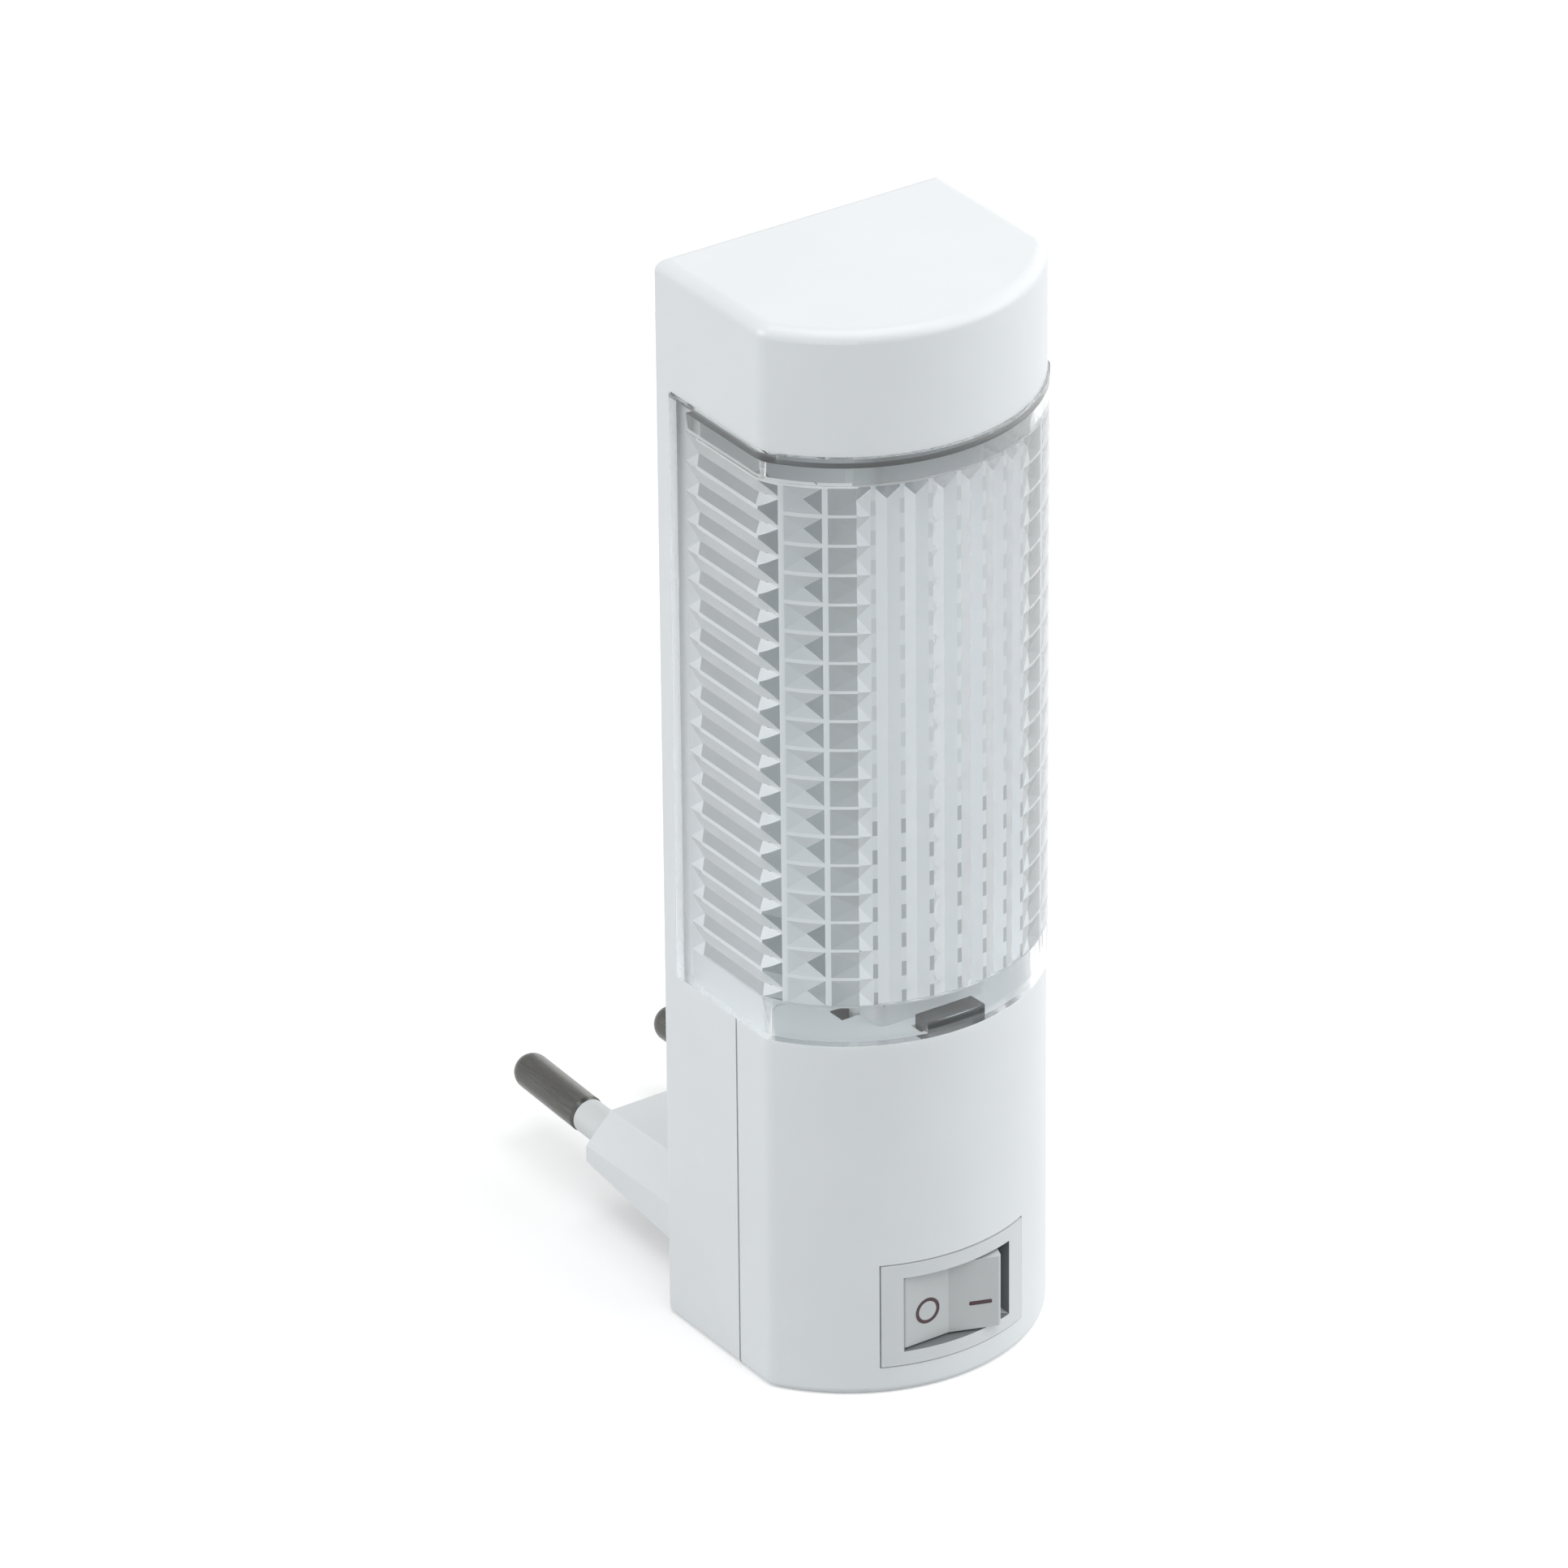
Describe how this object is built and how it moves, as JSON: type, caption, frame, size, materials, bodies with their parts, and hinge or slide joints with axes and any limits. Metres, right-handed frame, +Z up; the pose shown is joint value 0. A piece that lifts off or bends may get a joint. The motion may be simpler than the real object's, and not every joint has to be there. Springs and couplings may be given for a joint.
{
  "type": "plug-in night light",
  "caption": "Upright LED night light that plugs straight into a wall socket: clear ribbed lens, bowed housing, rocker switch low on the front, round-pin plug boss behind.",
  "frame": {"origin": "middle of the plug's face, between its two pins, which rests on the wall socket", "axes": "+Y goes into the wall socket along the pins, so the bowed front faces -Y; +Z is up, along the body; +X is to the right of a person facing the front"},
  "size_m": [0.0346, 0.0682, 0.1196],
  "materials": {
    "housing_white": "satin moulded plastic",
    "lens_clear": "clear, polished outside, ribbed inside",
    "diffuser_white": "milky, slightly translucent",
    "board_white": "white solder mask",
    "led_phosphor": "yellow phosphor gel in a white frame",
    "film_yellow": "glossy epoxy box",
    "can_sleeve": "printed shrink sleeve",
    "resistor_blue": "lacquered",
    "diode_black": "moulded epoxy",
    "pin_nickel": "nickel plated, satin",
    "sleeve_white": "moulded insulation",
    "retainer_grey": "moulded",
    "screw_steel": "zinc plated",
    "switch_white": "satin moulded plastic",
    "rocker_grey": "satin moulded plastic",
    "plunger_white": "moulded acetal",
    "spring_steel": "bright wire",
    "contact_brass": "stamped strip",
    "terminal_brass": "stamped strip",
    "lead_brown": "insulated wire",
    "lead_blue": "insulated wire",
    "lead_black": "insulated wire",
    "mark_ink": "pad-printed ink"
  },
  "bodies": {
    "housing": {"rear_shell": "housing_white", "front_shell": "housing_white", "lens": "lens_clear", "diffuser": "diffuser_white", "led_board": "board_white", "leds": "led_phosphor", "film_capacitor": "film_yellow", "electrolytic_capacitor": "can_sleeve", "resistors": "resistor_blue", "rectifier_diodes": "diode_black", "plug_pin_left": "pin_nickel", "plug_pin_right": "pin_nickel", "pin_sleeve_left": "sleeve_white", "pin_sleeve_right": "sleeve_white", "pin_retainer": "retainer_grey", "retainer_screw": "screw_steel", "case_screws": "screw_steel", "switch_body": "switch_white", "common_terminal": "terminal_brass", "load_terminal": "terminal_brass", "live_lead": "lead_brown", "neutral_lead": "lead_blue", "switched_lead": "lead_black"},
    "rocker": {"switch_rocker": "rocker_grey", "switch_plunger": "plunger_white", "switch_spring": "spring_steel"},
    "blade": {"contact_blade": "contact_brass"}
  },
  "joints": [
    {"name": "rocker_tilt", "type": "hinge", "parent": "housing", "child": "rocker", "pos_m": [0, -0.0425, 0.00115], "axis": [0, 0, 1], "range_deg": [0, 20]},
    {"name": "blade_tilt", "type": "hinge", "parent": "housing", "child": "blade", "pos_m": [0, -0.03735, 0.00115], "axis": [0, 0, 1], "range_deg": [-16, 0]}
  ],
  "couplings": [
    {"joint": "blade_tilt", "follows": "rocker_tilt", "ratio": -0.8}
  ]
}
